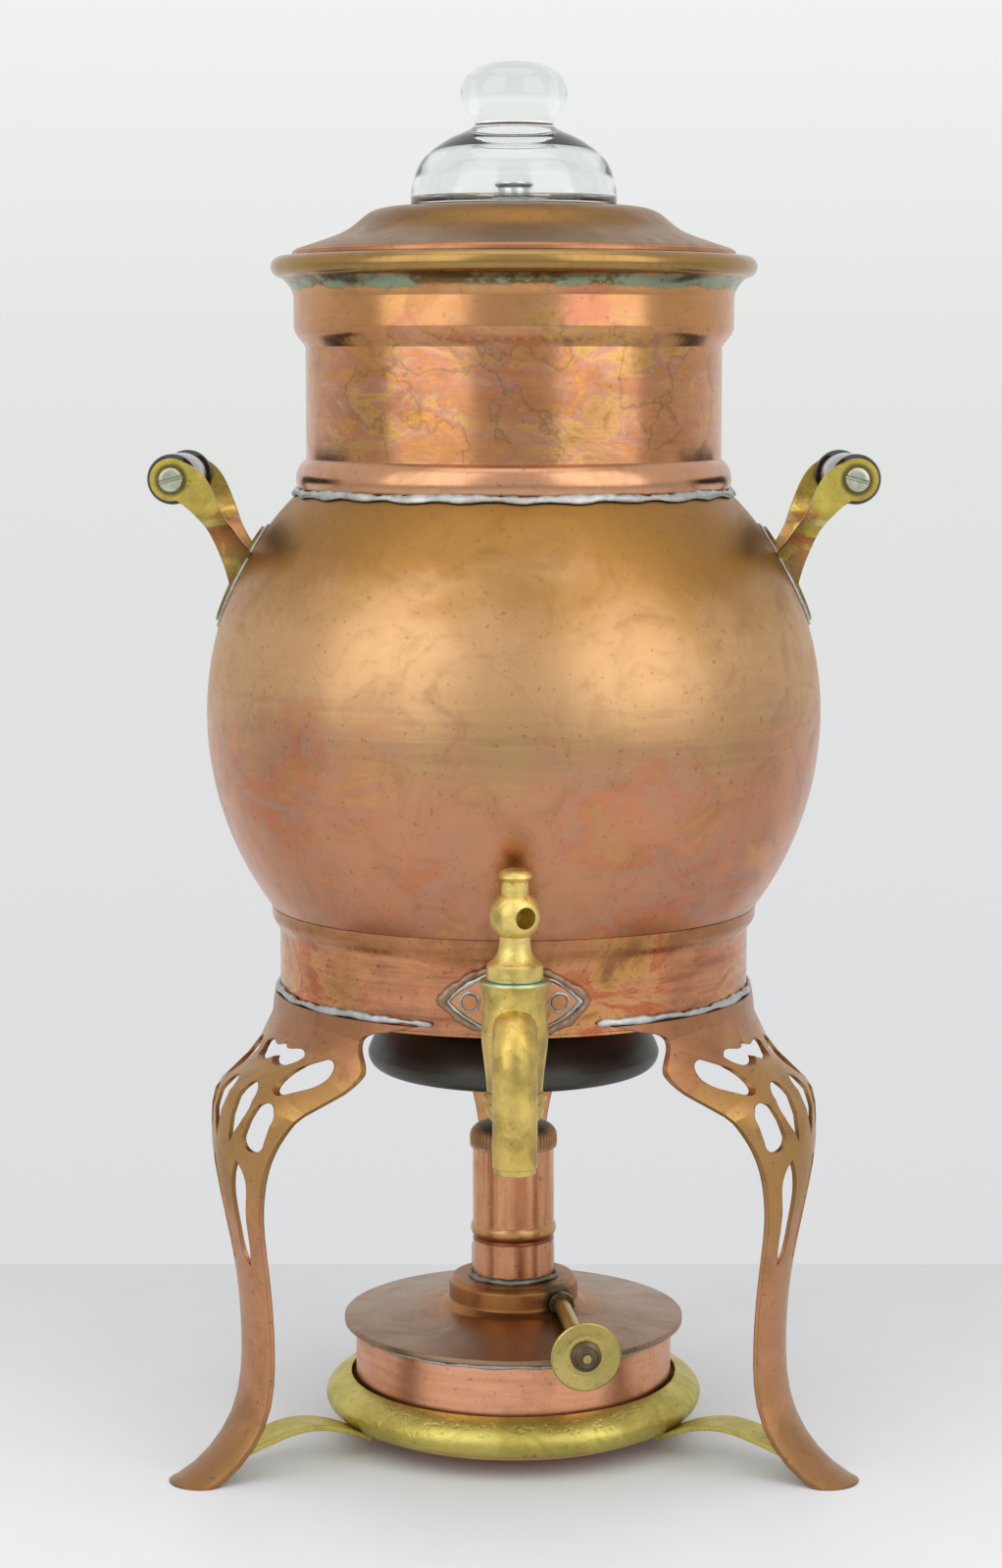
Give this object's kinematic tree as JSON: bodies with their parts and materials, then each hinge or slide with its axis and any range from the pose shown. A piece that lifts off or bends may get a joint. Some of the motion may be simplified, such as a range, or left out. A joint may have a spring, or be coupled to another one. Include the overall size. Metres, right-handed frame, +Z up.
{
  "type": "coffee percolator urn",
  "caption": "Copper ball-bodied percolator urn on pierced legs, with a brass faucet, side handles, glass dome, drip basket and an alcohol burner standing in a tray.",
  "frame": {"origin": "on the urn's axis at floor level, under the middle of the object", "axes": "+Z up along the urn's axis, -Y to the front where the faucet is, +X to the right-hand handle seen from the front"},
  "size_m": [0.191, 0.2075, 0.3694],
  "materials": {
    "ball_copper": "worn bright copper with golden tarnish",
    "neck_copper": "worn copper with iridescent tarnish",
    "lid_copper": "brown tarnished copper",
    "leg_copper": "dull copper with dark edges",
    "burner_copper": "satin copper with upright streaks",
    "plate_copper": "dull brown copper",
    "blackened_copper": "glossy black from heat",
    "brass": "satin olive-yellow with dark joints",
    "dark_bronze": "satin dark brown",
    "solder": "dull uneven grey",
    "tinned_steel": "dull silver",
    "aluminium": "satin",
    "clear_glass": "clear and smooth",
    "ebonised_wood": "glossy black",
    "fibre": "matt red-brown",
    "cotton": "woven, off-white"
  },
  "bodies": {
    "urn": {"body_ball": "ball_copper", "neck_collar": "neck_copper", "neck_solder": "solder", "base_skirt": "neck_copper", "urn_floor": "neck_copper", "boiler_well": "blackened_copper", "faucet_body": "brass", "shank_gasket": "fibre", "shank_locknut": "brass", "escutcheon": "neck_copper", "escutcheon_solder": "solder", "escutcheon_rivets": "neck_copper", "handle_bracket_left": "brass", "handle_bracket_right": "brass", "handle_solder_left": "solder", "handle_solder_right": "solder", "grip_left": "ebonised_wood", "grip_right": "ebonised_wood", "grip_rod_left": "tinned_steel", "grip_rod_right": "tinned_steel", "grip_nut_left": "tinned_steel", "grip_nut_right": "tinned_steel", "leg_front_left": "leg_copper", "leg_front_right": "leg_copper", "leg_rear": "leg_copper", "leg_solder": "solder", "tray_struts": "brass", "tray_ring": "brass", "tray_pan": "leg_copper"},
    "pump": {"pump_bell": "aluminium", "pump_tube": "aluminium"},
    "valve": {"valve_disc": "aluminium"},
    "basket": {"coffee_basket": "aluminium"},
    "spreader": {"basket_spreader": "aluminium"},
    "lid": {"lid_shell": "lid_copper", "lid_collar": "neck_copper", "dome_ring": "brass"},
    "dome": {"glass_dome": "clear_glass"},
    "tap_key": {"faucet_key": "brass", "faucet_washer": "brass", "faucet_nut": "brass"},
    "burner": {"burner_tank": "burner_copper", "burner_top": "plate_copper", "plate_solder": "solder", "chimney": "burner_copper", "chimney_solder": "solder", "wick_tube": "brass", "shaft_bush": "brass", "filler_neck": "brass"},
    "knob": {"wick_shaft": "brass", "wick_knob": "brass", "knob_nut": "dark_bronze"},
    "wick": {"wick": "cotton"},
    "cap": {"burner_cap": "burner_copper"},
    "filler": {"filler_cap": "brass"}
  },
  "joints": [
    {"name": "pump_lift", "type": "slide", "parent": "urn", "child": "pump", "axis": [0, 0, 1], "range_m": [0, 0.22]},
    {"name": "valve_lift", "type": "slide", "parent": "pump", "child": "valve", "axis": [0, 0, 1], "range_m": [0, 0.0024]},
    {"name": "basket_lift", "type": "slide", "parent": "pump", "child": "basket", "axis": [0, 0, 1], "range_m": [0, 0.115]},
    {"name": "spreader_lift", "type": "slide", "parent": "basket", "child": "spreader", "axis": [0, 0, 1], "range_m": [0, 0.06]},
    {"name": "lid_lift", "type": "slide", "parent": "spreader", "child": "lid", "axis": [0, 0, 1], "range_m": [0, 0.04]},
    {"name": "glass_twist", "type": "hinge", "parent": "lid", "child": "dome", "pos_m": [0, 0, 0.329], "axis": [0, 0, 1], "range_deg": [0, 60]},
    {"name": "key_turn", "type": "hinge", "parent": "urn", "child": "tap_key", "pos_m": [0, -0.085, 0.1295], "axis": [0, 0, 1], "range_deg": [-90, 90]},
    {"name": "burner_lift", "type": "slide", "parent": "urn", "child": "burner", "axis": [0, 0, 1], "range_m": [0, 0.0108]},
    {"name": "cap_lift", "type": "slide", "parent": "burner", "child": "cap", "axis": [0, 0, 1], "range_m": [0, 0.0037]},
    {"name": "filler_lift", "type": "slide", "parent": "burner", "child": "filler", "axis": [0, 0, 1], "range_m": [0, 0.008]},
    {"name": "knob_turn", "type": "hinge", "parent": "burner", "child": "knob", "pos_m": [0.01069, 0.0015, 0.039], "axis": [-0.1389, 0.9884, 0.0611], "range_deg": [-60, 170]},
    {"name": "wick_rise", "type": "slide", "parent": "burner", "child": "wick", "axis": [0, 0, 1], "range_m": [-0.0026, 0.0074]}
  ],
  "couplings": [
    {"joint": "knob_turn", "follows": "wick_rise", "rad_per_m": 400}
  ]
}
